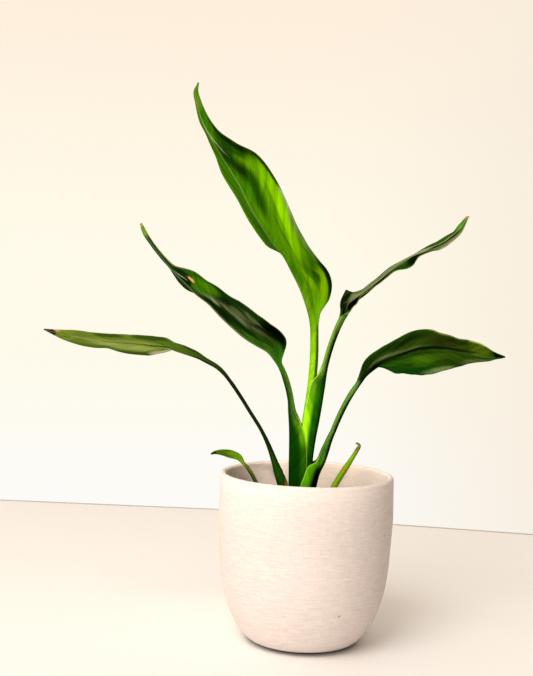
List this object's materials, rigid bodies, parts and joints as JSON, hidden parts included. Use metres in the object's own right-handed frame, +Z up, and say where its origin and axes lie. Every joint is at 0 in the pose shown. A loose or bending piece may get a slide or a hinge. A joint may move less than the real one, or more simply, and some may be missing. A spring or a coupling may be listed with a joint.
{
  "type": "potted bird of paradise",
  "caption": "Young bird of paradise houseplant with broad pointed leaves fanning from one clump, standing in soil in a plain round ceramic pot.",
  "frame": {"origin": "centre of the pot's flat base, on the surface the pot stands on", "axes": "+Z up along the pot's axis; the leaves fan out along X and the fan's front faces -Y"},
  "size_m": [0.3922, 0.1516, 0.4716],
  "materials": {
    "pot_ceramic": "matte, fine horizontal combing",
    "potting_soil": "rough, crumbly",
    "leaf_young": "satin",
    "leaf_mature": "satin"
  },
  "bodies": {
    "root": {"pot": "pot_ceramic", "soil": "potting_soil", "leaf_tall": "leaf_young", "leaf_left_upper": "leaf_mature", "leaf_right_upper": "leaf_mature", "leaf_right_lower": "leaf_mature", "leaf_left_lower": "leaf_mature", "leaf_small": "leaf_young", "shoot_rolled": "leaf_young"}
  },
  "joints": []
}
